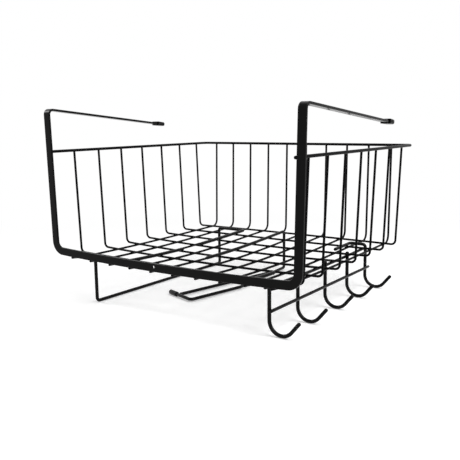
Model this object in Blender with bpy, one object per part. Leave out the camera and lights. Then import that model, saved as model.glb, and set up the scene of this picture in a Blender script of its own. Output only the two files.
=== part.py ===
"""Wire basket that hangs under a shelf by two flat arms.

A flat strip frames the open front and bends back over the top as two arms with soft end sleeves.
Seven cross wires, ten depth wires and a heavier rim wire make the basket itself.
A board bar, a roll rod with a return rod, and a rack of five hooks hang below the floor.

Lengths are metres. Heights in the size list are measured from the floor plane, which is the level
of the cross wire centres at the sides. Depths are measured back from the front face of the strip.
"""
import math

import bmesh
import bpy
from mathutils import Vector

# Flat strip of the front frame
strip_width = 0.010
strip_thickness = 0.0025
strip_edge_chamfer = 0.0005
frame_foot_half = 0.1965
frame_flare = 0.0045
frame_corner_radius = 0.0135
frame_rise_at_sides = 0.00175
frame_bow = 0.0039
shelf_slot = 0.0293
arm_length = 0.237
arm_drop = 0.0226
arm_bend_radius = 0.0065

# End sleeves of the arms
sleeve_width = 0.014
sleeve_height = 0.006
sleeve_length = 0.017
sleeve_end_wall = 0.0015
sleeve_edge = 0.0012

# Basket wires
wire_diameter = 0.0025
rim_diameter = 0.0034
depth_wire_count = 10
depth_wire_side_margin = 0.01925
depth_wire_shift = 0.0018
cross_wire_count = 7
first_cross_wire = 0.036
cross_wire_back_margin = 0.0258
floor_inset = 0.0075
side_corner_radius = 0.0065
back_corner_radius = 0.011
floor_back_corner = 0.339
rim_height = 0.1431
back_flare = 0.0065
rim_corner_radius = 0.008
wire_end_inset = 0.0015
wire_top_above_rim = 0.0006

# Shape of the pressed floor
floor_dip = 0.0009
floor_dish = 0.0039
dish_length_share = 0.77

# Wire of the pieces that hang below
bar_diameter = 0.0040
bar_corner_radius = 0.0045
hang_depth = 0.0568

# Board bar, with places counted in wire bays
board_bar_place_share = 1.185
board_bar_inner_place_share = 2.605
board_bar_front_clearance = 0.00115
board_bar_back_place_share = 5.455
board_foot_front_place_share = 2.035
board_foot_back_place_share = 2.90

# Roll rod with its return rod and end cap, with places counted in wire bays
roll_place_share = 4.395
roll_depth = 0.0551
roll_back_place_share = 5.91
roll_foot_place_share = 1.30
roll_foot_out = 0.0035
roll_knee_out = 0.011
roll_knee_place_share = 2.79
roll_front_in = 0.007
roll_front_place_share = 0.81
roll_tip_in = 0.057
roll_tip_place_share = 1.20
return_front_share = 0.62
return_back_share = 0.31
cap_diameter = 0.007
cap_length = 0.018
cap_end_wall = 0.002
cap_edge = 0.0014

# Hook rack, with places counted in wire bays
rack_place_share = 8.735
hook_place_shares = (-0.64, 0.915, 2.47, 3.895, 5.21)
hook_radius = 0.0160
hook_arc_past_bottom = math.radians(50.0)
hook_tip_length = 0.0168
hook_top_above_floor = 0.0047
hook_foot_place_share = 8.06
hook_foot_length = 0.0506
tie_diameter = 0.0034
tie_depth_share = 0.713
tie_overhang = 0.004

# Fit and fineness
weld_gap = 0.0003
wire_sides = 8
bar_sides = 10
bend_steps = 5
floor_steps = 12

# Radii, widths and levels that follow from the sizes above
wire_radius = wire_diameter / 2.0
rim_radius = rim_diameter / 2.0
bar_radius = bar_diameter / 2.0
tie_radius = tie_diameter / 2.0
cap_radius = cap_diameter / 2.0
layer_step = wire_diameter + weld_gap
foot_clear = wire_radius + weld_gap + bar_radius
frame_top_half = frame_foot_half + frame_flare
arm_end_height = rim_height + rim_radius + shelf_slot + sleeve_height / 2.0
arm_level = arm_end_height + arm_drop
arm_top_height = arm_level + strip_thickness / 2.0
foot_level = frame_rise_at_sides + strip_width / 2.0
floor_half_width = frame_foot_half - strip_width - floor_inset
depth_wire_span = 2.0 * (floor_half_width - depth_wire_side_margin)
depth_wire_pitch = depth_wire_span / (depth_wire_count - 1)
cross_wire_span = floor_back_corner - cross_wire_back_margin - first_cross_wire
cross_wire_pitch = cross_wire_span / (cross_wire_count - 1)
rim_back = floor_back_corner + back_flare
overall_depth = rim_back + rim_radius
ground_to_floor = hang_depth + bar_radius
tie_depth = tie_depth_share * (hang_depth - hook_radius)


def at(x, depth, height):
    """Point from the middle line, the depth behind the front face and the height over the floor."""
    return Vector((x, depth - overall_depth / 2.0, height + ground_to_floor))


def depth_wire_x(place):
    """Distance from the middle line of a place counted in depth wires from the left one."""
    return place * depth_wire_pitch - depth_wire_span / 2.0 - depth_wire_shift


def cross_wire_depth(place):
    """Depth of a place counted in cross wires from the front one, or in the bay before it."""
    if place < 0.0:
        return first_cross_wire * (1.0 + place)
    return first_cross_wire + place * cross_wire_pitch


def side_share(x):
    """Share of the bow that is left at a distance from the middle."""
    return 1.0 - (x / frame_foot_half) ** 2


def strip_bottom(x):
    """Height of the lower edge of the front strip."""
    return frame_rise_at_sides - frame_bow * side_share(x)


def floor_height(x, depth):
    """Height of the cross wire centres over the floor plane."""
    front_rise = frame_rise_at_sides + wire_radius
    nearness = max(0.0, 1.0 - depth / first_cross_wire) ** 2
    rise = front_rise * nearness
    turn = math.pi * depth / (dish_length_share * overall_depth)
    dish = frame_bow * nearness + floor_dip * (1.0 - nearness) + floor_dish * math.sin(turn)
    return rise - dish * side_share(x)


def on_floor(x, depth):
    """Centre of a bar that lies on the cross wires."""
    return at(x, depth, floor_height(x, depth) + foot_clear)


def under_cross_wires(x, depth, radius):
    """Centre of a wire that runs just below the cross wires."""
    return at(x, depth, floor_height(x, depth) - wire_radius - weld_gap - radius)


def spread(start, end, steps):
    """Evenly spaced values from start to end."""
    return [start + (end - start) * k / steps for k in range(steps + 1)]


def corner_arc(before, corner, after, radius, steps):
    """Points of a round bend that replaces a sharp corner."""
    back = (before - corner).normalized()
    ahead = (after - corner).normalized()
    half = back.angle(ahead) / 2.0
    reach = radius / math.tan(half)
    middle = (back + ahead).normalized()
    centre = corner + middle * (radius / math.sin(half))
    first = corner + back * reach - centre
    last = corner + ahead * reach - centre
    turn = first.angle(last)
    points = []
    for k in range(steps + 1):
        share = k / steps
        near = math.sin((1.0 - share) * turn)
        far = math.sin(share * turn)
        points.append(centre + (first * near + last * far) / math.sin(turn))
    return points


def bent_path(corners, radius, steps=bend_steps):
    """Path through the corner points with every inner corner rounded."""
    path = [corners[0]]
    for k in range(1, len(corners) - 1):
        path.extend(corner_arc(corners[k - 1], corners[k], corners[k + 1], radius, steps))
    path.append(corners[-1])
    return path


def add_material(name, colour, roughness, metallic):
    """Plain surface with one colour."""
    material = bpy.data.materials.new(name)
    material.use_nodes = True
    shader = material.node_tree.nodes["Principled BSDF"]
    shader.inputs["Base Color"].default_value = (*colour, 1.0)
    shader.inputs["Roughness"].default_value = roughness
    shader.inputs["Metallic"].default_value = metallic
    material.diffuse_color = (*colour, 1.0)
    return material


def finish_object(name, mesh_builder, material):
    """Scene object from a finished mesh builder, with the faces turned out."""
    bmesh.ops.recalc_face_normals(mesh_builder, faces=mesh_builder.faces[:])
    mesh = bpy.data.meshes.new(name)
    mesh_builder.to_mesh(mesh)
    mesh_builder.free()
    mesh.materials.append(material)
    item = bpy.data.objects.new(name, mesh)
    bpy.context.scene.collection.objects.link(item)
    return item


def skin_rings(name, rings, material, smooth):
    """Closed body over a row of rings with equal point counts and a flat cap at each end."""
    builder = bmesh.new()
    loops = [[builder.verts.new(point) for point in ring] for ring in rings]
    count = len(rings[0])
    for lower, upper in zip(loops[:-1], loops[1:]):
        for k in range(count):
            after = (k + 1) % count
            face = builder.faces.new((lower[k], lower[after], upper[after], upper[k]))
            face.smooth = smooth
    for loop in (loops[0], loops[-1]):
        cap = builder.faces.new(loop)
        cap.smooth = False
        for edge in cap.edges:
            edge.smooth = False
    return finish_object(name, builder, material)


def add_tube(name, path, radius, sides, material):
    """Round wire along a path, carried without twist."""
    tangents = []
    for k in range(len(path)):
        before = path[max(k - 1, 0)]
        after = path[min(k + 1, len(path) - 1)]
        tangents.append((after - before).normalized())
    across = tangents[0].orthogonal().normalized()
    rings = []
    for point, tangent in zip(path, tangents):
        across = (across - tangent * across.dot(tangent)).normalized()
        other = tangent.cross(across)
        ring = []
        for k in range(sides):
            turn = 2.0 * math.pi * k / sides
            ring.append(point + (across * math.cos(turn) + other * math.sin(turn)) * radius)
        rings.append(ring)
    return skin_rings(name, rings, material, True)


def strip_ring(centre, wide, thick):
    """Chamfered rectangle across the flat strip."""
    half_wide = strip_width / 2.0
    half_thick = strip_thickness / 2.0
    inner_wide = half_wide - strip_edge_chamfer
    inner_thick = half_thick - strip_edge_chamfer
    outline = (
        (half_wide, inner_thick), (inner_wide, half_thick),
        (-inner_wide, half_thick), (-half_wide, inner_thick),
        (-half_wide, -inner_thick), (-inner_wide, -half_thick),
        (inner_wide, -half_thick), (half_wide, -inner_thick),
    )
    return [centre + wide * a + thick * b for a, b in outline]


def frame_side_points(side):
    """Centre line, width direction and thickness direction from the arm end down to the floor run."""
    half = strip_width / 2.0
    mid_depth = strip_thickness / 2.0
    arm_x = side * (frame_top_half - half)
    foot_x = side * (frame_foot_half - half)
    arm_end = at(arm_x, arm_length, arm_end_height)
    arm_front = at(arm_x, mid_depth, arm_level)
    before_sleeve = arm_end + (arm_front - arm_end).normalized() * (sleeve_length - sleeve_end_wall)
    foot = at(foot_x, mid_depth, foot_level)
    run_x = side * (frame_foot_half - half - frame_corner_radius - strip_width)
    run = at(run_x, mid_depth, strip_bottom(run_x) + half)
    top_bend = corner_arc(arm_end, arm_front, foot, arm_bend_radius, bend_steps)
    low_bend = corner_arc(arm_front, foot, run, frame_corner_radius, 2 * bend_steps)
    sideways = Vector((side, 0.0, 0.0))
    rearward = Vector((0.0, 1.0, 0.0))
    sections = []
    back_line = [arm_end, before_sleeve] + top_bend
    for k, centre in enumerate(back_line):
        ahead = back_line[k + 1] if k + 1 < len(back_line) else foot
        behind = back_line[k - 1] if k > 0 else arm_end
        along = (ahead - behind).normalized()
        wide = (sideways - along * sideways.dot(along)).normalized()
        sections.append((centre, wide, along.cross(wide) * side))
    for k, centre in enumerate(low_bend):
        ahead = low_bend[k + 1] if k + 1 < len(low_bend) else run
        behind = low_bend[k - 1] if k > 0 else top_bend[-1]
        along = (ahead - behind).normalized()
        wide = along.cross(rearward).normalized() * side
        sections.append((centre, wide, -rearward))
    return sections


def build_front_frame(material):
    """One flat strip bent into the front opening and the two arms."""
    left = frame_side_points(-1.0)
    right = frame_side_points(1.0)
    half = strip_width / 2.0
    mid_depth = strip_thickness / 2.0
    run_half = frame_foot_half - half - frame_corner_radius - strip_width
    rings = [strip_ring(*section) for section in left]
    down = Vector((0.0, 0.0, -1.0))
    rearward = Vector((0.0, 1.0, 0.0))
    for x in spread(-run_half, run_half, floor_steps):
        centre = at(x, mid_depth, strip_bottom(x) + half)
        rings.append(strip_ring(centre, down, -rearward))
    for centre, wide, thick in reversed(right):
        rings.append(strip_ring(centre, wide, thick))
    return skin_rings("front_frame", rings, material, False)


def rounded_box_ring(centre, wide, high, half_wide, half_high, edge):
    """Rectangle with round corners, as a ring of points."""
    ring = []
    for corner in range(4):
        sign_wide = 1.0 if corner in (0, 3) else -1.0
        sign_high = 1.0 if corner in (0, 1) else -1.0
        for k in range(3):
            turn = (corner + k / 2.0) * math.pi / 2.0
            a = sign_wide * (half_wide - edge) + edge * math.cos(turn)
            b = sign_high * (half_high - edge) + edge * math.sin(turn)
            ring.append(centre + wide * a + high * b)
    return ring


def build_sleeve(name, side, material):
    """Soft sleeve with a flat pocket over the end of one arm."""
    half = strip_width / 2.0
    mid_depth = strip_thickness / 2.0
    arm_x = side * (frame_top_half - half)
    end = at(arm_x, arm_length, arm_end_height)
    front = at(arm_x, mid_depth, arm_level)
    along = (end - front).normalized()
    wide = Vector((1.0, 0.0, 0.0))
    high = wide.cross(along)
    tail = end + along * (weld_gap + sleeve_end_wall)
    mouth = tail - along * sleeve_length
    pocket_end = end + along * weld_gap
    half_wide = sleeve_width / 2.0
    half_high = sleeve_height / 2.0
    soft = sleeve_edge / 2.0
    pocket_wide = half + weld_gap
    pocket_high = mid_depth + weld_gap
    rings = (
        rounded_box_ring(tail, wide, high, half_wide - soft, half_high - soft, sleeve_edge),
        rounded_box_ring(tail - along * soft, wide, high, half_wide, half_high, sleeve_edge),
        rounded_box_ring(mouth + along * soft, wide, high, half_wide, half_high, sleeve_edge),
        rounded_box_ring(mouth, wide, high, half_wide - soft, half_high - soft, sleeve_edge),
        rounded_box_ring(mouth, wide, high, pocket_wide, pocket_high, weld_gap),
        rounded_box_ring(pocket_end, wide, high, pocket_wide, pocket_high, weld_gap),
    )
    return skin_rings(name, rings, material, False)


def upright_inner(height):
    """Distance of the inner edge of an upright from the middle at one height."""
    share = (height - foot_level) / (arm_level - foot_level)
    outer = frame_foot_half + frame_flare * share
    return outer - strip_width


def build_rim(material):
    """Heavy wire round the two sides and the back, ending at the inner edges of the uprights."""
    half = upright_inner(rim_height) - weld_gap - rim_radius
    corners = (
        at(-half, weld_gap, rim_height),
        at(-half, rim_back, rim_height),
        at(half, rim_back, rim_height),
        at(half, weld_gap, rim_height),
    )
    return add_tube("rim_wire", bent_path(corners, rim_corner_radius), rim_radius, bar_sides, material)


def build_cross_wire(number, material):
    """Wire across the floor that turns up at both sides and ends inside the rim."""
    depth = cross_wire_depth(number)
    top_half = upright_inner(rim_height) - weld_gap - rim_diameter - weld_gap - wire_radius
    top_height = rim_height + wire_top_above_rim
    corner_level = floor_height(floor_half_width, depth)
    flat_half = floor_half_width - 2.0 * side_corner_radius
    path = [at(-top_half, depth, top_height)]
    left_corner = at(-floor_half_width, depth, corner_level)
    left_run = at(-flat_half, depth, floor_height(-flat_half, depth))
    path.extend(corner_arc(path[0], left_corner, left_run, side_corner_radius, bend_steps))
    for x in spread(-flat_half, flat_half, floor_steps)[1:-1]:
        path.append(at(x, depth, floor_height(x, depth)))
    right_top = at(top_half, depth, top_height)
    right_corner = at(floor_half_width, depth, corner_level)
    right_run = at(flat_half, depth, floor_height(flat_half, depth))
    path.extend(corner_arc(right_run, right_corner, right_top, side_corner_radius, bend_steps))
    path.append(right_top)
    add_tube(f"cross_wire_{number + 1}", path, wire_radius, wire_sides, material)


def build_depth_wire(number, material):
    """Wire from under the front strip back along the floor and up inside the rim."""
    x = depth_wire_x(number)
    run_end = floor_back_corner - 2.0 * back_corner_radius
    path = []
    for depth in spread(wire_end_inset, run_end, floor_steps):
        path.append(at(x, depth, floor_height(x, depth) - layer_step))
    corner = at(x, floor_back_corner, floor_height(x, floor_back_corner) - layer_step)
    top_depth = rim_back - rim_radius - weld_gap - wire_radius
    top = at(x, top_depth, rim_height + wire_top_above_rim)
    path.extend(corner_arc(path[-1], corner, top, back_corner_radius, bend_steps))
    path.append(top)
    add_tube(f"depth_wire_{number + 1}", path, wire_radius, wire_sides, material)


def floor_foot(start_x, start, end_x, end):
    """Foot that lies on the floor wires, as points from start to end."""
    return [on_floor(x, depth) for x, depth in zip(spread(start_x, end_x, 4), spread(start, end, 4))]


def build_board_bar(material):
    """Bar with two legs through the floor mesh and two feet that lie on the floor wires."""
    x = depth_wire_x(board_bar_place_share)
    inner = depth_wire_x(board_bar_inner_place_share)
    front = strip_thickness + board_bar_front_clearance + bar_radius
    back = cross_wire_depth(board_bar_back_place_share)
    turn = bar_corner_radius
    back_end = cross_wire_depth(board_foot_back_place_share)
    front_end = cross_wire_depth(board_foot_front_place_share)
    back_foot = floor_foot(inner, back_end, inner, back - turn)
    front_foot = floor_foot(inner, front + turn, inner, front_end)
    corners = (
        back_foot[-1],
        on_floor(inner, back),
        on_floor(x, back),
        at(x, back, -hang_depth),
        at(x, front, -hang_depth),
        on_floor(x, front),
        on_floor(inner, front),
        front_foot[0],
    )
    middle = bent_path(corners, turn)[1:-1]
    path = back_foot[:-1] + middle + front_foot[1:]
    return add_tube("board_bar", path, bar_radius, bar_sides, material)


def roll_points():
    """Rear corner, knee, front corner and tip of the roll rod at its hanging level."""
    x = depth_wire_x(roll_place_share)
    rear = at(x, cross_wire_depth(roll_back_place_share), -roll_depth)
    knee = at(x + roll_knee_out, cross_wire_depth(roll_knee_place_share), -roll_depth)
    front = at(x - roll_front_in, cross_wire_depth(roll_front_place_share), -roll_depth)
    tip = at(x - roll_tip_in, cross_wire_depth(roll_tip_place_share), -roll_depth)
    return rear, knee, front, tip


def build_roll_rod(material):
    """Foot on the floor, one leg down at the back, the rod forward and a short cross end."""
    rear, knee, front, tip = roll_points()
    wall = (front - tip).normalized() * cap_end_wall
    x = depth_wire_x(roll_place_share)
    back = cross_wire_depth(roll_back_place_share)
    foot_end = cross_wire_depth(roll_foot_place_share)
    foot = floor_foot(x + roll_foot_out, foot_end, x, back - 2.0 * bar_corner_radius)
    corners = (foot[-1], on_floor(x, back), rear, knee, front, tip + wall)
    path = foot[:-1] + bent_path(corners, bar_corner_radius)
    return add_tube("roll_rod", path, bar_radius, bar_sides, material)


def build_return_rod(material):
    """Straight rod from the cross end back to the side of the roll rod."""
    rear, knee, front, tip = roll_points()
    along_rod = (knee - rear).normalized()
    along_end = (tip - front).normalized()
    up = Vector((0.0, 0.0, 1.0))
    beside = along_rod.cross(up)
    behind = up.cross(along_end) * -1.0
    if beside.x > 0.0:
        beside = -beside
    if behind.y < 0.0:
        behind = -behind
    spacing = bar_diameter + weld_gap
    start = front.lerp(tip, return_front_share) + behind * (bar_radius + 2.0 * weld_gap)
    end = rear.lerp(knee, return_back_share) + beside * spacing
    return add_tube("return_rod", [start, end], bar_radius, bar_sides, material)


def build_roll_cap(material):
    """Round cap with a blind bore over the tip of the roll rod."""
    rear, knee, front, tip = roll_points()
    along = (tip - front).normalized()
    side = Vector((0.0, 0.0, 1.0))
    other = along.cross(side)
    tail = tip + along * weld_gap
    bore_end = tip - along * (cap_end_wall - weld_gap)
    mouth = tail - along * cap_length
    bore_radius = bar_radius + weld_gap
    profile = (
        (tail, cap_radius - cap_edge),
        (tail - along * (cap_edge / 3.0), cap_radius - cap_edge / 3.0),
        (tail - along * cap_edge, cap_radius),
        (mouth + along * (cap_edge / 2.0), cap_radius),
        (mouth, cap_radius - cap_edge / 2.0),
        (mouth, bore_radius),
        (bore_end, bore_radius),
    )
    sides = 2 * wire_sides
    rings = []
    for centre, radius in profile:
        ring = []
        for k in range(sides):
            turn = 2.0 * math.pi * k / sides
            ring.append(centre + (side * math.cos(turn) + other * math.sin(turn)) * radius)
        rings.append(ring)
    return skin_rings("roll_rod_cap", rings, material, True)


def hook_curve(depth):
    """Centre line of the open hook, from the end of the shank to the tip."""
    centre_x = depth_wire_x(rack_place_share) + hook_radius
    centre_height = hook_radius - hang_depth
    full_turn = math.pi / 2.0 + hook_arc_past_bottom
    points = []
    for turn in spread(0.0, full_turn, 2 * bend_steps):
        x = centre_x - hook_radius * math.cos(turn)
        height = centre_height - hook_radius * math.sin(turn)
        points.append(at(x, depth, height))
    lean = Vector((math.sin(full_turn), 0.0, -math.cos(full_turn)))
    points.append(points[-1] + lean * hook_tip_length)
    return points


def build_end_hook(number, inward, material):
    """Hook whose shank bends over the floor and ends in a short foot."""
    depth = cross_wire_depth(hook_place_shares[number])
    foot_end = depth + inward * hook_foot_length
    foot_start = depth + inward * bar_corner_radius
    foot_x = depth_wire_x(hook_foot_place_share)
    shank_x = depth_wire_x(rack_place_share)
    foot = floor_foot(foot_x, foot_end, foot_x, foot_start)
    curve = hook_curve(depth)
    corners = (foot[-1], on_floor(foot_x, depth), on_floor(shank_x, depth), curve[0])
    path = foot[:-1] + bent_path(corners, bar_corner_radius)[1:] + curve[1:]
    add_tube(f"hook_{number + 1}", path, bar_radius, bar_sides, material)


def build_plain_hook(number, material):
    """Hook with a straight shank that ends just above the floor wires."""
    depth = cross_wire_depth(hook_place_shares[number])
    x = depth_wire_x(rack_place_share)
    top = at(x, depth, floor_height(x, depth) + hook_top_above_floor)
    path = [top] + hook_curve(depth)
    add_tube(f"hook_{number + 1}", path, bar_radius, bar_sides, material)


def build_rack_bars(material):
    """Upper rail below the cross wires and lower tie bar, on opposite sides of the shanks."""
    beside = bar_radius + weld_gap + tie_radius
    shank_x = depth_wire_x(rack_place_share)
    start = cross_wire_depth(hook_place_shares[0]) - tie_overhang
    end = cross_wire_depth(hook_place_shares[-1]) + tie_overhang
    rail = []
    for depth in spread(start, end, floor_steps):
        rail.append(under_cross_wires(shank_x - beside, depth, tie_radius))
    add_tube("rack_rail", rail, tie_radius, wire_sides, material)
    tie = [at(shank_x + beside, depth, -tie_depth) for depth in (start, end)]
    add_tube("rack_tie_bar", tie, tie_radius, wire_sides, material)


def build():
    """All pieces of the basket."""
    for item in list(bpy.data.objects):
        bpy.data.objects.remove(item)
    strip = add_material("satin_black_strip", (0.030, 0.030, 0.032), 0.42, 0.0)
    wire = add_material("gloss_black_wire", (0.012, 0.012, 0.013), 0.24, 0.0)
    bar = add_material("gloss_black_bar", (0.014, 0.014, 0.015), 0.26, 0.0)
    soft = add_material("black_vinyl", (0.010, 0.010, 0.010), 0.55, 0.0)
    build_front_frame(strip)
    build_sleeve("arm_sleeve_left", -1.0, soft)
    build_sleeve("arm_sleeve_right", 1.0, soft)
    build_rim(wire)
    for number in range(cross_wire_count):
        build_cross_wire(number, wire)
    for number in range(depth_wire_count):
        build_depth_wire(number, wire)
    build_board_bar(bar)
    build_roll_rod(bar)
    build_return_rod(bar)
    build_roll_cap(soft)
    last = len(hook_place_shares) - 1
    build_end_hook(0, 1.0, bar)
    for number in range(1, last):
        build_plain_hook(number, bar)
    build_end_hook(last, -1.0, bar)
    build_rack_bars(bar)


build()
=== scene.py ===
"""Dresses the wire basket that hangs under a shelf, one section per piece, in the order it is made."""
import math

import bmesh
import bpy
from mathutils import Matrix, Vector


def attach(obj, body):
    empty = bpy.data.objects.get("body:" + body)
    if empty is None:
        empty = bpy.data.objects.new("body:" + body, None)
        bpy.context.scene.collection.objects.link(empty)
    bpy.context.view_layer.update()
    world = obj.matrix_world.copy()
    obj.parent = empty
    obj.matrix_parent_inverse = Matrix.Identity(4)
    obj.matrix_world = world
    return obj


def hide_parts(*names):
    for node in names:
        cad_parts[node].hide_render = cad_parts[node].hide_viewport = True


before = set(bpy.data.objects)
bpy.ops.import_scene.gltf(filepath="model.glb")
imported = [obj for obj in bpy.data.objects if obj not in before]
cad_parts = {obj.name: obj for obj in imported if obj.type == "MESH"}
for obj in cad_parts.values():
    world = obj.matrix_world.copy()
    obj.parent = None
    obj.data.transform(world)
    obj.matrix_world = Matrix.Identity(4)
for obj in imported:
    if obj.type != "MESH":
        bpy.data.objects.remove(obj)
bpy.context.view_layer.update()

# Front strip
# One flat steel strip stands on edge round the open front and bends back over the top as two arms.
# It is rolled with soft edges, bent cold round formers, and powder coated satin black.
# The coat stands a little proud of the steel on every side, as it does on all the wires.
coat_thickness = 0.0003
overall_depth = 0.3472
ground_to_floor = 0.0588
strip_width = 0.010
strip_thickness = 0.0025
strip_edge_radius = 0.0007
strip_edge_steps = 4
frame_foot_half = 0.1965
frame_flare = 0.0045
frame_corner_radius = 0.0135
frame_rise_at_sides = 0.00175
frame_bow = 0.0039
arm_length = 0.237
arm_end_height = 0.1771
arm_drop = 0.0226
arm_bend_radius = 0.0065
arm_middle = frame_foot_half + frame_flare - strip_width / 2.0
arm_level = arm_end_height + arm_drop
foot_level = frame_rise_at_sides + strip_width / 2.0
run_inset = 1.5 * strip_width
run_half = frame_foot_half - run_inset - frame_corner_radius
strip_middle = strip_thickness / 2.0 + coat_thickness
strip_steps = 40
bend_steps = 10
sharp_turn = math.radians(60.0)
forward = Vector((0.0, -1.0, 0.0))
down = Vector((0.0, 0.0, -1.0))


def at(x, depth, height):
    """Point from the middle line, the depth behind the front face and the height over the floor."""
    return Vector((x, depth - overall_depth / 2.0, height + ground_to_floor))


def spread(start, end, steps):
    """Evenly spaced values from start to end."""
    return [start + (end - start) * k / steps for k in range(steps + 1)]


def side_share(x):
    """Share of the bow that is left at a distance from the middle."""
    return 1.0 - (x / frame_foot_half) ** 2


def strip_bottom(x):
    """Height of the lower edge of the front strip."""
    return frame_rise_at_sides - frame_bow * side_share(x)


def corner_arc(before, corner, after, radius, steps):
    """Points of a round bend that takes the place of a sharp corner."""
    back = (before - corner).normalized()
    ahead = (after - corner).normalized()
    half = back.angle(ahead) / 2.0
    centre = corner + (back + ahead).normalized() * (radius / math.sin(half))
    first = corner + back * (radius / math.tan(half)) - centre
    last = corner + ahead * (radius / math.tan(half)) - centre
    axis = first.cross(last).normalized()
    bend = first.angle(last)
    return [centre + Matrix.Rotation(turn, 3, axis) @ first for turn in spread(0.0, bend, steps)]


def station(centre, wide, thick):
    """Place and turn of a cross section from its width and thickness directions."""
    turned = Matrix((wide, thick, wide.cross(thick))).transposed().to_4x4()
    return Matrix.Translation(centre) @ turned


def frame_side_stations(side):
    """Stations of the strip from one arm's end down to the run under the front."""
    arm_end = at(side * arm_middle, arm_length, arm_end_height - coat_thickness)
    arm_front = at(side * arm_middle, strip_middle, arm_level - coat_thickness)
    foot = at(side * (frame_foot_half - strip_width / 2.0), strip_middle, foot_level)
    run = at(side * run_half, strip_middle, strip_bottom(run_half) + strip_width / 2.0)
    top_bend = corner_arc(arm_end, arm_front, foot, arm_bend_radius, bend_steps)
    low_bend = corner_arc(arm_front, foot, run, frame_corner_radius, 2 * bend_steps)
    sideways = Vector((side, 0.0, 0.0))
    stations = []
    back_line = [arm_end] + top_bend + [foot]
    for k, centre in enumerate(back_line[:-1]):
        along = (back_line[k + 1] - back_line[max(k - 1, 0)]).normalized()
        wide = (sideways - along * sideways.dot(along)).normalized()
        stations.append(station(centre, wide, along.cross(wide) * side))
    low_line = [top_bend[-1]] + low_bend + [run]
    for k, centre in enumerate(low_line[1:-1]):
        along = (low_line[k + 2] - low_line[k]).normalized()
        wide = forward.cross(along).normalized() * side
        stations.append(station(centre, wide, forward))
    return stations


def sweep(builder, first_ring, stations):
    """Draws a closed ring of edges through the stations and closes both ends."""
    ring = first_ring
    for before, after in zip(stations[:-1], stations[1:]):
        made = bmesh.ops.extrude_edge_only(builder, edges=ring)["geom"]
        moved = {item for item in made if isinstance(item, bmesh.types.BMVert)}
        edges = [item for item in made if isinstance(item, bmesh.types.BMEdge)]
        ring = [edge for edge in edges if moved.issuperset(edge.verts)]
        bmesh.ops.transform(builder, matrix=after @ before.inverted(), verts=list(moved))
    for end_ring in (first_ring, ring):
        bmesh.ops.edgeloop_fill(builder, edges=end_ring)


def sharp_edges(builder):
    """Edges at which the surface turns sharply."""
    return [edge for edge in builder.edges if edge.calc_face_angle(0.0) > sharp_turn]


def round_off(builder, edges, radius, steps):
    """Rounds edges to a radius."""
    bmesh.ops.bevel(
        builder, geom=edges, offset=radius, offset_type="OFFSET", affect="EDGES",
        segments=steps, profile=0.5, material=-1)


def linear(hex_colour):
    """Linear colour from an sRGB hex value."""
    shares = [int(hex_colour[k:k + 2], 16) / 255.0 for k in (1, 3, 5)]
    return [s / 12.92 if s <= 0.04045 else ((s + 0.055) / 1.055) ** 2.4 for s in shares] + [1.0]


def add_node(tree, kind, inputs, **settings):
    """Node with its settings, and a value or a link for each named or numbered input."""
    node = tree.nodes.new(kind)
    for name, value in settings.items():
        setattr(node, name, value)
    for name, value in inputs.items():
        if isinstance(value, bpy.types.NodeSocket):
            tree.links.new(value, node.inputs[name])
        else:
            node.inputs[name].default_value = value
    return node


def coated_surface(name, dark, light, roughness, peel_size, peel_height, specular):
    """Sprayed or dipped coat: two close tones, uneven gloss, and an orange peel over a slow wave."""
    cloud_size = 0.009
    cloud_low = 0.3
    cloud_high = 0.7
    wave_height = 4.0 * peel_height
    wave_strength = 0.6
    material = bpy.data.materials.new(name)
    material.use_nodes = True
    tree = material.node_tree
    shader = tree.nodes["Principled BSDF"]
    # A typical coat has 0.5, but under the white surround that would turn the black basket grey.
    shader.inputs["Specular IOR Level"].default_value = specular
    place = add_node(tree, "ShaderNodeTexCoord", {}).outputs["Object"]
    cloud_inputs = {"Vector": place, "Scale": 1.0 / cloud_size, "Detail": 3.0}
    cloud = add_node(tree, "ShaderNodeTexNoise", cloud_inputs).outputs["Fac"]
    peel_inputs = {"Vector": place, "Scale": 1.0 / peel_size, "Detail": 1.5}
    peel = add_node(tree, "ShaderNodeTexNoise", peel_inputs).outputs["Fac"]
    # Inputs 6 and 7 of a colour mix are its two colours, and output 2 is the mixed one.
    tone_inputs = {"Factor": cloud, 6: linear(dark), 7: linear(light)}
    tone = add_node(tree, "ShaderNodeMix", tone_inputs, data_type="RGBA").outputs[2]
    gloss_inputs = {
        "Value": cloud, "From Min": cloud_low, "From Max": cloud_high,
        "To Min": roughness[0], "To Max": roughness[1]}
    gloss = add_node(tree, "ShaderNodeMapRange", gloss_inputs).outputs["Result"]
    wave_inputs = {"Height": cloud, "Distance": wave_height, "Strength": wave_strength}
    wave = add_node(tree, "ShaderNodeBump", wave_inputs).outputs["Normal"]
    skin_inputs = {"Height": peel, "Distance": peel_height, "Normal": wave}
    skin = add_node(tree, "ShaderNodeBump", skin_inputs).outputs["Normal"]
    tree.links.new(tone, shader.inputs["Base Color"])
    tree.links.new(gloss, shader.inputs["Roughness"])
    tree.links.new(skin, shader.inputs["Normal"])
    return material


def mesh_object(name, builder):
    """Object at the origin from a mesh builder, with smooth faces that point outward."""
    bmesh.ops.recalc_face_normals(builder, faces=builder.faces[:])
    for face in builder.faces:
        face.smooth = True
    mesh = bpy.data.meshes.new(name)
    builder.to_mesh(mesh)
    builder.free()
    made = bpy.data.objects.new(name, mesh)
    bpy.context.scene.collection.objects.link(made)
    return made


def finish_piece(name, builder, material, nodes):
    """Piece from a mesh builder, that rides on the basket and stands for the named solids."""
    piece = mesh_object(name, builder)
    piece.data.materials.append(material)
    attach(piece, "root")
    if nodes:
        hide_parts(*nodes)
    return piece


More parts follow.
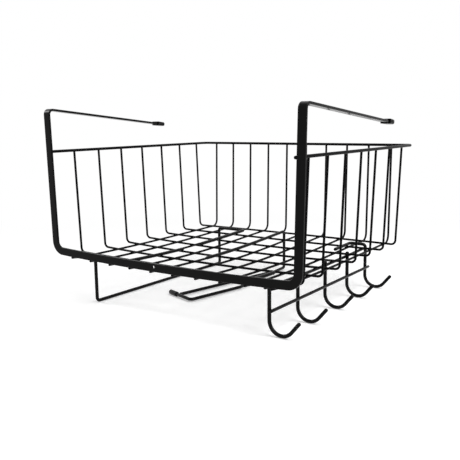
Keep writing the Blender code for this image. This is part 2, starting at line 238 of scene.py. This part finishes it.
# Satin powder coat on steel is an even deep black with a soft sheen and a faint orange peel.
satin_powder_coat = coated_surface(
    "satin_black_powder_coat_on_steel_strip", dark="#050505", light="#080808",
    roughness=(0.12, 0.18), peel_size=0.0016, peel_height=0.000004, specular=0.09)
strip_stations = frame_side_stations(-1.0)
for x in spread(-run_half, run_half, strip_steps):
    centre = at(x, strip_middle, strip_bottom(x) + strip_width / 2.0)
    strip_stations.append(station(centre, down, forward))
strip_stations.extend(reversed(frame_side_stations(1.0)))
half_wide = strip_width / 2.0 + coat_thickness
half_thick = strip_thickness / 2.0 + coat_thickness
builder = bmesh.new()
corners = []
for a, b in ((1.0, 1.0), (-1.0, 1.0), (-1.0, -1.0), (1.0, -1.0)):
    corner = Vector((a * half_wide, b * half_thick, 0.0))
    corners.append(builder.verts.new(strip_stations[0] @ corner))
strip_ring = [builder.edges.new((corners[k - 1], corners[k])) for k in range(len(corners))]
sweep(builder, strip_ring, strip_stations)
bmesh.ops.recalc_face_normals(builder, faces=builder.faces[:])
round_off(builder, sharp_edges(builder), strip_edge_radius, strip_edge_steps)
front_strip = finish_piece(
    "coated_front_strip", builder, satin_powder_coat, ["front_frame"])

# Punched hole
# One small round hole goes through the front strip, a little left of the middle.
# It is punched before the strip is coated, so the coat has rounded off both of its rims.
hole_x = -0.0122
hole_height = 0.0037
hole_radius = 0.0019
hole_rim = 0.0005
hole_rim_steps = 5
hole_sides = 40
quarter_turn = math.pi / 2.0
merge_distance = 0.00001
coated_strip = strip_thickness + 2.0 * coat_thickness


def turned_shape(profile, axis, sides):
    """Builder with a profile of points turned once round an axis on which it starts and ends."""
    builder = bmesh.new()
    verts = [builder.verts.new(point) for point in profile]
    edges = [builder.edges.new(pair) for pair in zip(verts[:-1], verts[1:])]
    bmesh.ops.spin(
        builder, geom=verts + edges, cent=(0.0, 0.0, 0.0), axis=axis,
        angle=2.0 * math.pi, steps=sides, use_merge=True)
    bmesh.ops.remove_doubles(builder, verts=builder.verts[:], dist=merge_distance)
    return builder


punch_profile = [(0.0, -coated_strip, 0.0), (hole_radius + hole_rim, -coated_strip, 0.0)]
for turn in spread(0.0, quarter_turn, hole_rim_steps):
    reach = hole_radius + (hole_rim - hole_rim * math.sin(turn))
    punch_profile.append((reach, hole_rim - hole_rim * math.cos(turn), 0.0))
for turn in spread(quarter_turn, 0.0, hole_rim_steps):
    reach = hole_radius + (hole_rim - hole_rim * math.sin(turn))
    punch_profile.append((reach, coated_strip - hole_rim + hole_rim * math.cos(turn), 0.0))
punch_profile.append((hole_radius + hole_rim, 2.0 * coated_strip, 0.0))
punch_profile.append((0.0, 2.0 * coated_strip, 0.0))
builder = turned_shape(punch_profile, (0.0, 1.0, 0.0), hole_sides)
bmesh.ops.translate(builder, vec=at(hole_x, 0.0, hole_height), verts=builder.verts[:])
punch = mesh_object("hole_punch", builder)
press = front_strip.modifiers.new("punched_hole", "BOOLEAN")
press.operation = "DIFFERENCE"
press.solver = "EXACT"
press.object = punch
pressed_strip = front_strip.evaluated_get(bpy.context.evaluated_depsgraph_get())
punched_mesh = bpy.data.meshes.new_from_object(pressed_strip)
spent_meshes = (punch.data, front_strip.data)
front_strip.modifiers.clear()
front_strip.data = punched_mesh
bpy.data.objects.remove(punch)
for mesh in spent_meshes:
    bpy.data.meshes.remove(mesh)
front_strip.modifiers.new("even_flats", "WEIGHTED_NORMAL")

# Arm sleeves
# A short sleeve of soft black vinyl is pushed over the end of each arm, so that it does not mark the shelf.
# It is dip moulded, so its edges are round and its tail is blunt.
sleeve_width = 0.014
sleeve_height = 0.006
sleeve_length = 0.017
sleeve_end_wall = 0.0015
sleeve_edge = 0.0009
sleeve_edge_steps = 4
sleeve_tail_corner = 0.0052
sleeve_corner_steps = 10
sleeve_tail_edge = 0.0019
sleeve_tail_steps = 5
sleeve_lip = 0.0006
weld_gap = 0.0003
pocket_depth = sleeve_length - sleeve_end_wall
start_of_round = sleeve_length / 2.0 - sleeve_tail_corner - sleeve_edge
across = Vector((1.0, 0.0, 0.0))
# Dip-moulded vinyl is a touch lighter than the coated steel, with a low, uneven shine.
dipped_vinyl = coated_surface(
    "dip_moulded_black_vinyl", dark="#070707", light="#0c0c0c",
    roughness=(0.24, 0.36), peel_size=0.0011, peel_height=0.000005, specular=0.1)
for side, place in ((-1.0, "left"), (1.0, "right")):
    arm_end = at(side * arm_middle, arm_length, arm_end_height)
    along = (arm_end - at(side * arm_middle, strip_middle, arm_level)).normalized()
    middle = arm_end + along * (weld_gap + sleeve_end_wall - sleeve_length / 2.0)
    builder = bmesh.new()
    size = Matrix.Diagonal((sleeve_width, sleeve_length, sleeve_height, 1.0))
    bmesh.ops.create_cube(builder, size=1.0, matrix=size)
    tail = [edge for edge in builder.edges if min(vert.co.y for vert in edge.verts) > 0.0]
    upright = [edge for edge in tail if abs(edge.verts[0].co.x - edge.verts[1].co.x) < sleeve_edge]
    round_off(builder, upright, sleeve_tail_corner, sleeve_corner_steps)
    sharp = sharp_edges(builder)
    tail = [edge for edge in sharp if min(vert.co.y for vert in edge.verts) > start_of_round]
    round_off(builder, tail, sleeve_tail_edge, sleeve_tail_steps)
    round_off(builder, sharp_edges(builder), sleeve_edge, sleeve_edge_steps)
    mouth = max(builder.faces, key=lambda face: -face.normal.y * face.calc_area())
    bmesh.ops.inset_individual(builder, faces=[mouth], thickness=sleeve_lip)
    pocket = bmesh.ops.extrude_discrete_faces(builder, faces=[mouth])["faces"]
    bmesh.ops.translate(builder, vec=(0.0, pocket_depth, 0.0), verts=pocket[0].verts[:])
    turned = Matrix((across, along, across.cross(along))).transposed().to_4x4()
    bmesh.ops.transform(builder, matrix=Matrix.Translation(middle) @ turned, verts=builder.verts[:])
    sleeve = finish_piece(
        f"dipped_sleeve_{place}", builder, dipped_vinyl, [f"arm_sleeve_{place}"])
    sleeve.modifiers.new("even_flats", "WEIGHTED_NORMAL")

# Rim wire
# A heavier round wire runs round the two sides and the back, and is welded to the uprights' inner edges.
# It is drawn mild steel under a gloss black coat that has flowed smooth and rounded off the cut ends.
rim_radius = 0.0017
rim_height = 0.1431
rim_back = 0.3455
rim_corner_radius = 0.008
rim_sides = 20
end_round_share = 0.7
end_round_turns = [math.radians(turn) for turn in (30.0, 60.0, 85.0)]


def bent_path(corners, radius):
    """Path through the corner points with every inner corner rounded."""
    path = [corners[0]]
    for before, corner, after in zip(corners[:-2], corners[1:-1], corners[2:]):
        path.extend(corner_arc(before, corner, after, radius, bend_steps))
    path.append(corners[-1])
    return path


def wire_stations(path, radius):
    """Stations along a round wire, carried without twist, that close in to a rounded cut end."""
    end_round = end_round_share * radius
    first = (path[1] - path[0]).normalized()
    last = (path[-1] - path[-2]).normalized()
    points = [path[0] + first * end_round] + path[1:-1] + [path[-1] - last * end_round]
    across = first.orthogonal().normalized()
    frames = []
    for k, point in enumerate(points):
        tangent = (points[min(k + 1, len(points) - 1)] - points[max(k - 1, 0)]).normalized()
        across = (across - tangent * across.dot(tangent)).normalized()
        turned = Matrix((across, tangent.cross(across), tangent)).transposed().to_4x4()
        frames.append(Matrix.Translation(point) @ turned)
    stations = [placed @ Matrix.Scale(radius, 4) for placed in frames]
    for turn in end_round_turns:
        scale = Matrix.Scale(radius - end_round + end_round * math.cos(turn), 4)
        reach = end_round * math.sin(turn)
        stations.insert(0, frames[0] @ Matrix.Translation((0.0, 0.0, -reach)) @ scale)
        stations.append(frames[-1] @ Matrix.Translation((0.0, 0.0, reach)) @ scale)
    return stations


def drawn_wire(node, path, steel_radius, sides, material):
    """Round wire with its coat along a path, as one closed piece that stands for the node of that name."""
    stations = wire_stations(path, steel_radius + coat_thickness)
    builder = bmesh.new()
    bmesh.ops.create_circle(builder, segments=sides, radius=1.0, matrix=stations[0])
    sweep(builder, builder.edges[:], stations)
    finish_piece(f"coated_{node}", builder, material, [node])


def upright_inner(height):
    """Distance of the inner edge of an upright from the middle at one height."""
    share = (height - foot_level) / (arm_level - foot_level)
    return frame_foot_half + frame_flare * share - strip_width


# A gloss coat on drawn wire is the deepest black here, and its ripple breaks the shine into short glints.
gloss_wire_coat = coated_surface(
    "gloss_black_coat_on_drawn_wire", dark="#030304", light="#060607",
    roughness=(0.24, 0.34), peel_size=0.0022, peel_height=0.000001, specular=0.045)
rim_half = upright_inner(rim_height) - weld_gap - rim_radius
rim_corners = (
    at(-rim_half, weld_gap, rim_height),
    at(-rim_half, rim_back - coat_thickness, rim_height),
    at(rim_half, rim_back - coat_thickness, rim_height),
    at(rim_half, weld_gap, rim_height),
)
rim_path = bent_path(rim_corners, rim_corner_radius)
drawn_wire("rim_wire", rim_path, rim_radius, rim_sides, gloss_wire_coat)

# Cross wires
# Seven round wires cross the floor, turn up at both sides and end inside the rim.
# They are cut, bent in one press and spot welded before the whole basket is coated.
wire_radius = 0.00125
wire_sides = 16
cross_wire_count = 7
first_cross_wire = 0.036
cross_wire_pitch = 0.0462
floor_half_width = 0.179
side_corner_radius = 0.0065
wire_top_above_rim = 0.0006
floor_dip = 0.0009
floor_dish = 0.0039
dish_length_share = 0.77
floor_steps = 24


def floor_height(x, depth):
    """Height of the cross wire centres over the floor plane."""
    front_rise = frame_rise_at_sides + wire_radius
    nearness = max(0.0, 1.0 - depth / first_cross_wire) ** 2
    turn = math.pi * depth / (dish_length_share * overall_depth)
    dish = frame_bow * nearness + floor_dip * (1.0 - nearness) + floor_dish * math.sin(turn)
    return front_rise * nearness - dish * side_share(x)


def cross_wire_depth(place):
    """Depth of a place counted in cross wires from the front one, or in the bay before it."""
    if place < 0.0:
        return first_cross_wire * (1.0 + place)
    return first_cross_wire + place * cross_wire_pitch


cross_top = rim_height + wire_top_above_rim
cross_top_half = upright_inner(rim_height) - 2.0 * weld_gap - 2.0 * rim_radius - wire_radius
flat_half = floor_half_width - 2.0 * side_corner_radius
for number in range(cross_wire_count):
    depth = cross_wire_depth(number)
    corner_height = floor_height(floor_half_width, depth)
    tops = [at(side * cross_top_half, depth, cross_top) for side in (-1.0, 1.0)]
    lows = [at(side * floor_half_width, depth, corner_height) for side in (-1.0, 1.0)]
    flat = [at(x, depth, floor_height(x, depth)) for x in spread(-flat_half, flat_half, floor_steps)]
    left_bend = corner_arc(tops[0], lows[0], flat[0], side_corner_radius, bend_steps)
    right_bend = corner_arc(flat[-1], lows[1], tops[1], side_corner_radius, bend_steps)
    path = [tops[0]] + left_bend + flat[1:-1] + right_bend + [tops[1]]
    node = f"cross_wire_{number + 1}"
    drawn_wire(node, path, wire_radius, wire_sides, gloss_wire_coat)

# Depth wires
# Ten round wires run from under the front strip to the back, below the cross wires, and turn up there.
# Their front ends are welded to the strip's lower edge and show there as small dark stubs.
depth_wire_count = 10
depth_wire_pitch = 0.0355
depth_wire_shift = 0.0018
wire_end_inset = 0.0015
floor_back_corner = 0.339
back_corner_radius = 0.011
layer_step = 2.0 * wire_radius + weld_gap


def depth_wire_x(place):
    """Distance from the middle line of a place counted in depth wires from the left one."""
    return (place - (depth_wire_count - 1) / 2.0) * depth_wire_pitch - depth_wire_shift


depth_top = rim_back - rim_radius - weld_gap - wire_radius
run_end = floor_back_corner - 2.0 * back_corner_radius
for number in range(depth_wire_count):
    x = depth_wire_x(number)
    run = []
    for depth in spread(wire_end_inset, run_end, floor_steps):
        run.append(at(x, depth, floor_height(x, depth) - layer_step))
    corner = at(x, floor_back_corner, floor_height(x, floor_back_corner) - layer_step)
    top = at(x, depth_top, cross_top)
    path = run + corner_arc(run[-1], corner, top, back_corner_radius, bend_steps) + [top]
    node = f"depth_wire_{number + 1}"
    drawn_wire(node, path, wire_radius, wire_sides, gloss_wire_coat)

# Board bar
# A thicker bent bar hangs at the left: two feet lie on the floor wires, and two legs go down from them.
# It is bent cold from drawn steel bar, welded by its feet, and gloss coated like the wires.
bar_radius = 0.002
bar_corner_radius = 0.0045
bar_sides = 20
hang_depth = 0.0568
lowest_line = hang_depth - coat_thickness
foot_clear = wire_radius + weld_gap + bar_radius
foot_steps = floor_steps // 3
board_bar_x = depth_wire_x(1.185)
board_foot_x = depth_wire_x(2.605)
board_bar_front = 0.00565
board_bar_back = cross_wire_depth(5.455)
board_foot_front_end = cross_wire_depth(2.035)
board_foot_back_end = cross_wire_depth(2.90)


def foot_height(x, depth):
    """Height of the middle of a bar that lies on the cross wires."""
    return floor_height(x, depth) + foot_clear


def floor_foot(start_x, start, end_x, end):
    """Foot that lies on the floor wires, as points from start to end."""
    places = zip(spread(start_x, end_x, foot_steps), spread(start, end, foot_steps))
    return [at(x, depth, foot_height(x, depth)) for x, depth in places]


# The same gloss coat on thicker bar has flowed smoother, so a lamp shows on it as a clearer streak.
gloss_bar_coat = coated_surface(
    "gloss_black_coat_on_bent_bar", dark="#040405", light="#070708",
    roughness=(0.1, 0.16), peel_size=0.0022, peel_height=0.0000015, specular=0.1)
back_bend = board_bar_back - bar_corner_radius
front_bend = board_bar_front + bar_corner_radius
back_foot = floor_foot(board_foot_x, board_foot_back_end, board_foot_x, back_bend)
front_foot = floor_foot(board_foot_x, front_bend, board_foot_x, board_foot_front_end)
board_corners = (
    back_foot[-1],
    at(board_foot_x, board_bar_back, foot_height(board_foot_x, board_bar_back)),
    at(board_bar_x, board_bar_back, foot_height(board_bar_x, board_bar_back)),
    at(board_bar_x, board_bar_back, -lowest_line),
    at(board_bar_x, board_bar_front, -lowest_line),
    at(board_bar_x, board_bar_front, foot_height(board_bar_x, board_bar_front)),
    at(board_foot_x, board_bar_front, foot_height(board_foot_x, board_bar_front)),
    front_foot[0],
)
board_path = back_foot[:-1] + bent_path(board_corners, bar_corner_radius)[1:-1] + front_foot[1:]
drawn_wire("board_bar", board_path, bar_radius, bar_sides, gloss_bar_coat)

# Roll rod
# One bar holds a paper roll: a foot on the floor wires, a leg down at the back, a rod and a cross end.
# It is bent from the same coated bar, with a slight kink part of the way along the rod.
roll_x = depth_wire_x(4.395)
roll_depth = 0.0551
roll_back = cross_wire_depth(5.91)
roll_foot_end = cross_wire_depth(1.30)
roll_knee_depth = cross_wire_depth(2.79)
roll_front_depth = cross_wire_depth(0.81)
roll_tip_depth = cross_wire_depth(1.20)
roll_foot_out = 0.0035
roll_knee_out = 0.011
roll_front_in = 0.007
roll_tip_in = 0.057
cap_end_wall = 0.002
roll_rear = at(roll_x, roll_back, -roll_depth)
roll_knee = at(roll_x + roll_knee_out, roll_knee_depth, -roll_depth)
roll_front = at(roll_x - roll_front_in, roll_front_depth, -roll_depth)
roll_tip = at(roll_x - roll_tip_in, roll_tip_depth, -roll_depth)
roll_foot_bend = roll_back - 2.0 * bar_corner_radius
roll_foot = floor_foot(roll_x + roll_foot_out, roll_foot_end, roll_x, roll_foot_bend)
tip_inside_cap = roll_tip + (roll_front - roll_tip).normalized() * cap_end_wall
leg_top = at(roll_x, roll_back, foot_height(roll_x, roll_back))
roll_corners = (roll_foot[-1], leg_top, roll_rear, roll_knee, roll_front, tip_inside_cap)
roll_path = roll_foot[:-1] + bent_path(roll_corners, bar_corner_radius)
drawn_wire("roll_rod", roll_path, bar_radius, bar_sides, gloss_bar_coat)

# Return rod
# A straight rod runs from the roll rod's cross end back to its side.
# It is cut from the same bar and welded at both ends, which makes the rod stiff.
return_front_share = 0.62
return_back_share = 0.31
return_steps = 6
up = Vector((0.0, 0.0, 1.0))
rod_side = up.cross((roll_knee - roll_rear).normalized())
rod_side = -rod_side if rod_side.x > 0.0 else rod_side
end_side = up.cross((roll_tip - roll_front).normalized())
end_side = -end_side if end_side.y < 0.0 else end_side
return_start = roll_front.lerp(roll_tip, return_front_share) + end_side * (bar_radius + 2.0 * weld_gap)
return_end = roll_rear.lerp(roll_knee, return_back_share) + rod_side * (2.0 * bar_radius + weld_gap)
return_path = [return_start.lerp(return_end, share) for share in spread(0.0, 1.0, return_steps)]
drawn_wire("return_rod", return_path, bar_radius, bar_sides, gloss_bar_coat)

# Roll rod cap
# A round cap of black vinyl covers the tip of the roll rod's cross end.
# It is dip moulded with a rounded end and a soft lip, and pushed on over the coated bar.
cap_radius = 0.0035
cap_length = 0.018
cap_edge = 0.0014
cap_edge_steps = 5
cap_lip = cap_edge / 2.0
cap_lip_steps = 4
cap_sides = 32
cap_top = cap_length + weld_gap
cap_bore = bar_radius + weld_gap
cap_floor = cap_length - cap_end_wall
cap_profile = [(0.0, 0.0, cap_top)]
for turn in spread(0.0, quarter_turn, cap_edge_steps):
    rise = cap_top - cap_edge + cap_edge * math.cos(turn)
    cap_profile.append((cap_radius - cap_edge + cap_edge * math.sin(turn), 0.0, rise))
for turn in spread(0.0, quarter_turn, cap_lip_steps):
    rise = weld_gap + cap_lip - cap_lip * math.sin(turn)
    cap_profile.append((cap_radius - cap_lip + cap_lip * math.cos(turn), 0.0, rise))
cap_profile.extend([(cap_bore, 0.0, weld_gap), (cap_bore, 0.0, cap_floor), (0.0, 0.0, cap_floor)])
builder = turned_shape(cap_profile, (0.0, 0.0, 1.0), cap_sides)
cap_along = (roll_tip - roll_front).normalized()
cap_turn = cap_along.to_track_quat("Z", "Y").to_matrix().to_4x4()
cap_start = Matrix.Translation(roll_tip - cap_along * cap_length)
bmesh.ops.transform(builder, matrix=cap_start @ cap_turn, verts=builder.verts[:])
# Vinyl dipped over a smooth former is tight and even, with the clearest highlights on the basket.
glossy_vinyl = coated_surface(
    "glossy_black_vinyl_cap", dark="#060606", light="#0b0b0b",
    roughness=(0.12, 0.18), peel_size=0.0014, peel_height=0.000003, specular=0.2)
finish_piece("dipped_roll_rod_cap", builder, glossy_vinyl, ["roll_rod_cap"])

# Hooks
# Five open hooks bent from the same bar hang in a row at the right, with their mouths to the outside.
# The first and last bend over the floor wires into a foot, and the others end above the mesh.
rack_x = depth_wire_x(8.735)
hook_places = (-0.64, 0.915, 2.47, 3.895, 5.21)
hook_radius = 0.016
degrees_past_bottom = 50.0
hook_full_turn = math.radians(90.0 + degrees_past_bottom)
hook_tip_length = 0.0168
hook_top_above_floor = 0.0047
hook_foot_x = depth_wire_x(8.06)
hook_foot_length = 0.0506
first_hook_depth = cross_wire_depth(hook_places[0])
last_hook_depth = cross_wire_depth(hook_places[-1])
hook_lean = Vector((math.sin(hook_full_turn), 0.0, -math.cos(hook_full_turn)))
foot_ways = {0: 1.0, len(hook_places) - 1: -1.0}
for number, place in enumerate(hook_places):
    depth = cross_wire_depth(place)
    curve = []
    for turn in spread(0.0, hook_full_turn, 3 * bend_steps):
        x = rack_x + hook_radius - hook_radius * math.cos(turn)
        curve.append(at(x, depth, hook_radius - lowest_line - hook_radius * math.sin(turn)))
    curve.append(curve[-1] + hook_lean * hook_tip_length)
    if number in foot_ways:
        inward = foot_ways[number]
        foot_end = depth + inward * hook_foot_length
        foot = floor_foot(hook_foot_x, foot_end, hook_foot_x, depth + inward * bar_corner_radius)
        turn_in = at(hook_foot_x, depth, foot_height(hook_foot_x, depth))
        turn_down = at(rack_x, depth, foot_height(rack_x, depth))
        bends = bent_path((foot[-1], turn_in, turn_down, curve[0]), bar_corner_radius)
        path = foot[:-1] + bends[1:] + curve[1:]
    else:
        path = [at(rack_x, depth, floor_height(rack_x, depth) + hook_top_above_floor)] + curve
    node = f"hook_{number + 1}"
    drawn_wire(node, path, bar_radius, bar_sides, gloss_bar_coat)

# Rack rail and tie bar
# Two thinner wires join the shanks of all the hooks, one just under the cross wires and one lower down.
# They are welded to opposite sides of the shanks, and their cut ends run past the first and last hook.
tie_radius = 0.0017
tie_depth_share = 0.713
tie_depth = tie_depth_share * (hang_depth - hook_radius)
tie_overhang = 0.004
beside_shank = bar_radius + weld_gap + tie_radius
rack_start = first_hook_depth - tie_overhang
rack_end = last_hook_depth + tie_overhang
rack_depths = spread(rack_start, rack_end, floor_steps)
rail_x = rack_x - beside_shank
rail_drop = wire_radius + weld_gap + tie_radius
rail_path = [at(rail_x, depth, floor_height(rail_x, depth) - rail_drop) for depth in rack_depths]
tie_path = [at(rack_x + beside_shank, depth, -tie_depth) for depth in rack_depths]
drawn_wire("rack_rail", rail_path, tie_radius, wire_sides, gloss_bar_coat)
drawn_wire("rack_tie_bar", tie_path, tie_radius, wire_sides, gloss_bar_coat)

# Spot welds
# Wherever two wires cross or a wire meets the strip, a small flattened bead of fused steel joins them.
# The coat has run into each corner and rounded it, so a bead looks like a soft swelling of the wire.
weld_wide = 0.0015
weld_low = 0.0008
thin_in_width = 0
thin_in_depth = 1
thin_in_height = 2
# Coat that has pooled round a bead is a shade lighter than on the wires, and less even.
weld_coat = coated_surface(
    "black_coat_pooled_on_spot_welds", dark="#050506", light="#09090a",
    roughness=(0.2, 0.3), peel_size=0.0012, peel_height=0.000006, specular=0.08)


def add_weld(builder, centre, thin_axis):
    """Flattened bead, thin along one axis."""
    sizes = [weld_low if k == thin_axis else weld_wide for k in range(3)]
    matrix = Matrix.Translation(centre) @ Matrix.Diagonal((*sizes, 1.0))
    bmesh.ops.create_icosphere(builder, subdivisions=2, radius=1.0, matrix=matrix)


builder = bmesh.new()
for across_number in range(cross_wire_count):
    depth = cross_wire_depth(across_number)
    for along_number in range(depth_wire_count):
        x = depth_wire_x(along_number)
        add_weld(builder, at(x, depth, floor_height(x, depth) - layer_step / 2.0), thin_in_height)
finish_piece("floor_welds", builder, weld_coat, [])

builder = bmesh.new()
for number in range(cross_wire_count):
    for side in (-1.0, 1.0):
        x = side * (cross_top_half + wire_radius + weld_gap / 2.0)
        add_weld(builder, at(x, cross_wire_depth(number), rim_height), thin_in_width)
for number in range(depth_wire_count):
    gap_depth = depth_top + wire_radius + weld_gap / 2.0
    add_weld(builder, at(depth_wire_x(number), gap_depth, rim_height), thin_in_depth)
finish_piece("rim_welds", builder, weld_coat, [])

builder = bmesh.new()
for number in range(depth_wire_count):
    x = depth_wire_x(number)
    add_weld(builder, at(x, strip_middle + weld_low, strip_bottom(x) - weld_gap / 2.0), thin_in_height)
for side in (-1.0, 1.0):
    x = side * (rim_half + rim_radius + weld_gap / 2.0)
    add_weld(builder, at(x, strip_middle + weld_gap, rim_height), thin_in_width)
finish_piece("front_strip_welds", builder, weld_coat, [])

builder = bmesh.new()
foot_gap = wire_radius + weld_gap / 2.0
shank_gap = bar_radius + weld_gap / 2.0
front_foot_reach = first_hook_depth + hook_foot_length
back_foot_reach = rack_end - hook_foot_length
for number in range(cross_wire_count):
    depth = cross_wire_depth(number)
    feet = []
    if depth < board_foot_front_end or board_foot_back_end < depth < board_bar_back:
        feet.append(board_foot_x)
    if roll_foot_end < depth < roll_back:
        share = (depth - roll_foot_end) / (roll_back - roll_foot_end)
        feet.append(roll_x + roll_foot_out * (1.0 - share))
    if depth < front_foot_reach or back_foot_reach < depth < last_hook_depth:
        feet.append(hook_foot_x)
    for x in feet:
        add_weld(builder, at(x, depth, floor_height(x, depth) + foot_gap), thin_in_height)
    if rack_start < depth < rack_end:
        add_weld(builder, at(rail_x, depth, floor_height(rail_x, depth) - foot_gap), thin_in_height)
for place in hook_places:
    depth = cross_wire_depth(place)
    rail_height = floor_height(rail_x, depth) - rail_drop
    add_weld(builder, at(rack_x - shank_gap, depth, rail_height), thin_in_width)
    add_weld(builder, at(rack_x + shank_gap, depth, -tie_depth), thin_in_width)
finish_piece("hanger_welds", builder, weld_coat, [])

# Studio floor
# The basket stands over a matt white sweep that keeps its soft shadow.
# Its paint is lifted a little near the basket and fades into plain white further out.
floor_size = 12.0
fade_start = 0.3
fade_end = 0.85
floor_lift = 0.3
white = linear("#ffffff")


def background_rays(tree):
    """1 for the rays that show the background: the camera's, reflected ones and those through glass."""
    rays = add_node(tree, "ShaderNodeLightPath", {})
    shown = rays.outputs["Is Camera Ray"]
    for kind in ("Is Glossy Ray", "Is Transmission Ray"):
        either = add_node(tree, "ShaderNodeMath", {0: shown, 1: rays.outputs[kind]}, operation="MAXIMUM")
        shown = either.outputs["Value"]
    return shown


builder = bmesh.new()
bmesh.ops.create_grid(builder, x_segments=1, y_segments=1, size=floor_size / 2.0)
mesh = bpy.data.meshes.new("studio_floor")
builder.to_mesh(mesh)
builder.free()
studio_floor = bpy.data.objects.new("studio_floor", mesh)
bpy.context.scene.collection.objects.link(studio_floor)
# Matt white paint has no shine, so all that shows on it is the shadow.
sweep_paint = bpy.data.materials.new("matt_white_sweep")
sweep_paint.use_nodes = True
tree = sweep_paint.node_tree
tree.nodes.clear()
place = add_node(tree, "ShaderNodeTexCoord", {}).outputs["Object"]
distance = add_node(tree, "ShaderNodeVectorMath", {0: place}, operation="LENGTH").outputs["Value"]
fade_inputs = {"Value": distance, "From Min": fade_start, "From Max": fade_end}
fade = add_node(tree, "ShaderNodeMapRange", fade_inputs, interpolation_type="SMOOTHSTEP").outputs["Result"]
paint = add_node(tree, "ShaderNodeBsdfDiffuse", {"Color": linear("#f2f2f2")}).outputs["BSDF"]
lift = add_node(tree, "ShaderNodeEmission", {"Color": white, "Strength": floor_lift}).outputs["Emission"]
near = add_node(tree, "ShaderNodeAddShader", {0: paint, 1: lift}).outputs["Shader"]
far = add_node(tree, "ShaderNodeEmission", {"Color": white, "Strength": 1.0}).outputs["Emission"]
shown = add_node(tree, "ShaderNodeMixShader", {0: fade, 1: near, 2: far}).outputs["Shader"]
surface = add_node(tree, "ShaderNodeMixShader", {0: background_rays(tree), 1: paint, 2: shown})
add_node(tree, "ShaderNodeOutputMaterial", {"Surface": surface.outputs["Shader"]})
mesh.materials.append(sweep_paint)

# Studio room
# Behind the basket and in its reflections the room is plain white.
# It adds only a weak even light of its own, so that the softboxes shape the basket.
room_fill = 0.1
world = bpy.data.worlds.new("studio")
bpy.context.scene.world = world
world.use_nodes = True
tree = world.node_tree
tree.nodes.clear()
# Inputs 2 and 3 of a number mix are its two numbers, and output 0 is the mixed one.
room_inputs = {"Factor": background_rays(tree), 2: room_fill, 3: 1.0}
strength = add_node(tree, "ShaderNodeMix", room_inputs, data_type="FLOAT").outputs[0]
background = add_node(tree, "ShaderNodeBackground", {"Color": white, "Strength": strength})
add_node(tree, "ShaderNodeOutputWorld", {"Surface": background.outputs["Background"]})

# Softboxes
# Square lamps light the basket from above, from both sides and a little from the front.
# Each has a name, a place, a side length in metres and a power in watts.
lamp_aim = Vector((0.0, 0.0, 0.12))
lamps = (
    ("overhead_softbox", (-0.1, 0.5, 1.5), 1.4, 6.0),
    ("left_softbox", (-1.31, -0.52, 1.12), 0.5, 8.0),
    ("right_softbox", (1.07, -0.05, 1.2), 1.3, 21.0),
    ("front_softbox", (0.35, -1.4, 0.9), 0.9, 3.0),
)
for name, place, size, power in lamps:
    lamp = bpy.data.lights.new(name, "AREA")
    lamp.shape = "SQUARE"
    lamp.size = size
    lamp.energy = power
    holder = bpy.data.objects.new(name, lamp)
    bpy.context.scene.collection.objects.link(holder)
    holder.location = place
    holder.rotation_euler = (lamp_aim - holder.location).to_track_quat("-Z", "Y").to_euler()

# Camera
# It stands at the photograph's viewpoint, to the right of the middle and a little above the rim.
# Its turn is in degrees, and its lens and sensor are in millimetres.
camera_place = (0.52176, -0.76689, 0.24035)
camera_turn = (80.5171, 0.6958, 34.9674)
camera_lens = 51.27
camera_sensor = 36.0
nearest_seen = 0.01
camera_data = bpy.data.cameras.new("camera")
camera = bpy.data.objects.new("camera", camera_data)
bpy.context.scene.collection.objects.link(camera)
camera_data.sensor_width = camera_sensor
camera_data.lens = camera_lens
camera_data.clip_start = nearest_seen
camera.location = camera_place
camera.rotation_euler = [math.radians(turn) for turn in camera_turn]
bpy.context.scene.camera = camera
bpy.context.scene.view_settings.view_transform = "Standard"
